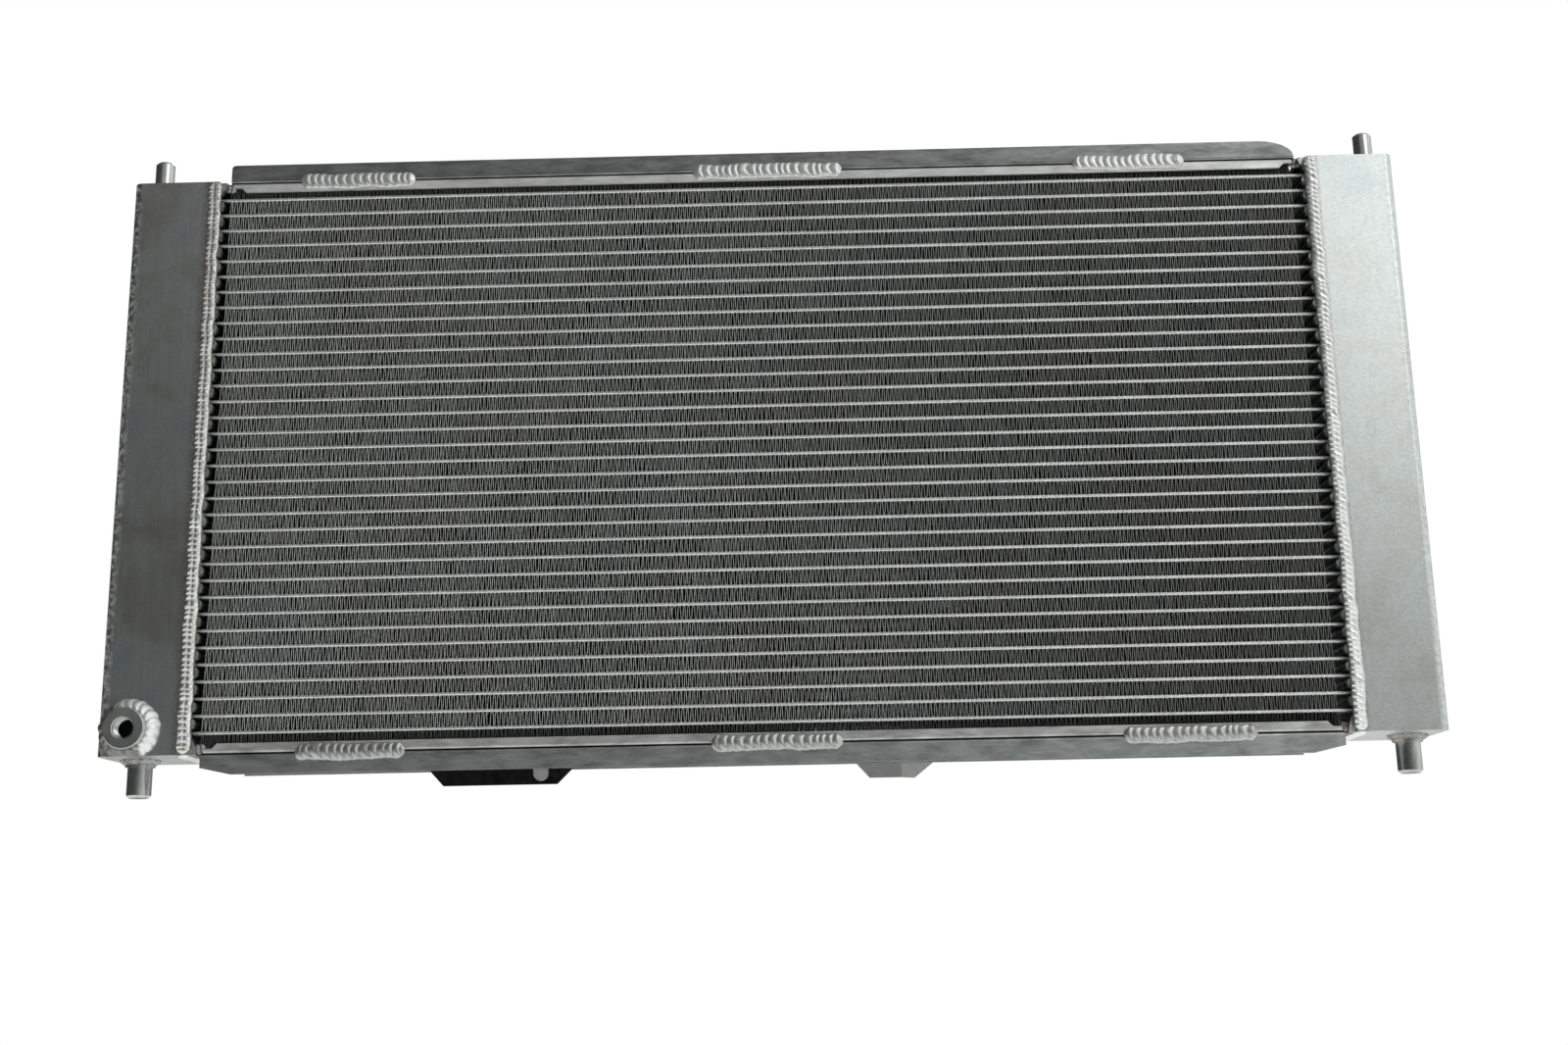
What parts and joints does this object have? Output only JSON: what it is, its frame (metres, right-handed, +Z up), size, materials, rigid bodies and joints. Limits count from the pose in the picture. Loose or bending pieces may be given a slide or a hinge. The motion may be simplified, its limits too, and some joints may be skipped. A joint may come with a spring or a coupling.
{
  "type": "car radiator",
  "caption": "All-aluminium crossflow car radiator: flat-tube and folded-fin core, welded side tanks, channel rails, mounting pins and hose necks.",
  "frame": {"origin": "midway between the two lower mounting pins, on the plane of their shoulders, where the rubber bushes seat", "axes": "+Z up as installed, front of the core towards -Y, +X to the right seen from the front, along the tubes"},
  "size_m": [0.774, 0.108, 0.3995],
  "materials": {
    "core_tube": "brazed, dull satin with a rope-like line of fin crests",
    "fin_sheet": "thin folded sheet, satin",
    "header_plate": "stamped sheet, satin",
    "left_tank_sheet": "brushed along its length, faint brown and blue stains, scuffed outer edge",
    "right_tank_sheet": "satin mill finish with small scratches",
    "side_plate_sheet": "warm grey after brazing, mottled",
    "rail_sheet": "folded mill-finish sheet with scratches",
    "machined_fitting": "turned, fine machining marks",
    "dark_bracket": "dark anodised, low gloss",
    "plain_bracket": "mill finish, dull",
    "weld_bead": "bright rippled weld metal, brown at its edges"
  },
  "bodies": {
    "root": {"tube_01": "core_tube", "tube_02": "core_tube", "tube_03": "core_tube", "tube_04": "core_tube", "tube_05": "core_tube", "tube_06": "core_tube", "tube_07": "core_tube", "tube_08": "core_tube", "tube_09": "core_tube", "tube_10": "core_tube", "tube_11": "core_tube", "tube_12": "core_tube", "tube_13": "core_tube", "tube_14": "core_tube", "tube_15": "core_tube", "tube_16": "core_tube", "tube_17": "core_tube", "tube_18": "core_tube", "tube_19": "core_tube", "tube_20": "core_tube", "tube_21": "core_tube", "tube_22": "core_tube", "tube_23": "core_tube", "tube_24": "core_tube", "tube_25": "core_tube", "tube_26": "core_tube", "tube_27": "core_tube", "tube_28": "core_tube", "tube_29": "core_tube", "tube_30": "core_tube", "tube_31": "core_tube", "tube_32": "core_tube", "tube_33": "core_tube", "tube_34": "core_tube", "fin_strips": "fin_sheet", "left_header": "header_plate", "right_header": "header_plate", "left_tank": "left_tank_sheet", "right_tank": "right_tank_sheet", "left_tank_top_cap": "left_tank_sheet", "left_tank_bottom_cap": "left_tank_sheet", "right_tank_top_cap": "right_tank_sheet", "right_tank_bottom_cap": "right_tank_sheet", "top_side_plate": "side_plate_sheet", "bottom_side_plate": "side_plate_sheet", "top_rail": "rail_sheet", "bottom_rail": "rail_sheet", "inlet_neck": "machined_fitting", "outlet_neck": "machined_fitting", "sensor_boss": "machined_fitting", "left_top_pin": "machined_fitting", "right_top_pin": "machined_fitting", "left_bottom_pin": "machined_fitting", "right_bottom_pin": "machined_fitting", "left_lower_bracket": "dark_bracket", "locating_tab": "plain_bracket", "right_lower_bracket": "plain_bracket", "header_welds": "weld_bead", "rail_welds": "weld_bead", "fitting_welds": "weld_bead"}
  },
  "joints": []
}
